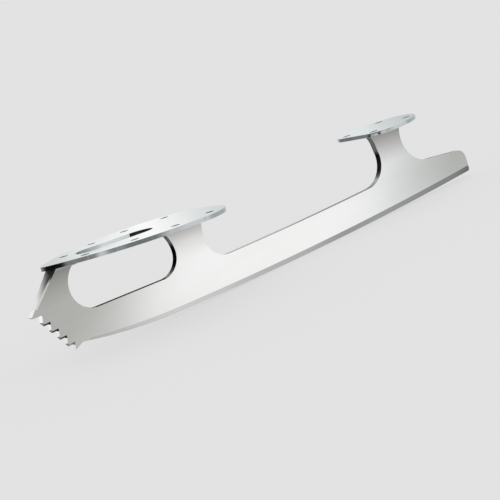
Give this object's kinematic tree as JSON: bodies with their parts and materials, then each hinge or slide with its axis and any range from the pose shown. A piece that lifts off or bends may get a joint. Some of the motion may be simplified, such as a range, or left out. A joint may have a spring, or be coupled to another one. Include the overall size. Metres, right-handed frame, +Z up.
{
  "type": "figure skate blade",
  "caption": "Figure skate blade with a hollow-ground rocker runner, cross-cut toe rake, open posts, a slotted sole plate and a round heel plate.",
  "frame": {"origin": "on the ice line under the middle of the blade's length and thickness", "axes": "+X from the toe rake to the tail, +Y across the blade to its far side, +Z up from the ice to the boot"},
  "size_m": [0.297, 0.072, 0.0515],
  "materials": {
    "runner_steel": "polished plate with a ground edge",
    "strut_steel": "polished plate",
    "plate_steel": "polished plate",
    "braze": "soft plated fillet"
  },
  "bodies": {
    "root": {"runner_blade": "runner_steel", "toe_strut": "strut_steel", "sole_plate": "plate_steel", "heel_plate": "plate_steel", "toe_braze": "braze", "middle_braze": "braze", "heel_braze": "braze"}
  },
  "joints": []
}
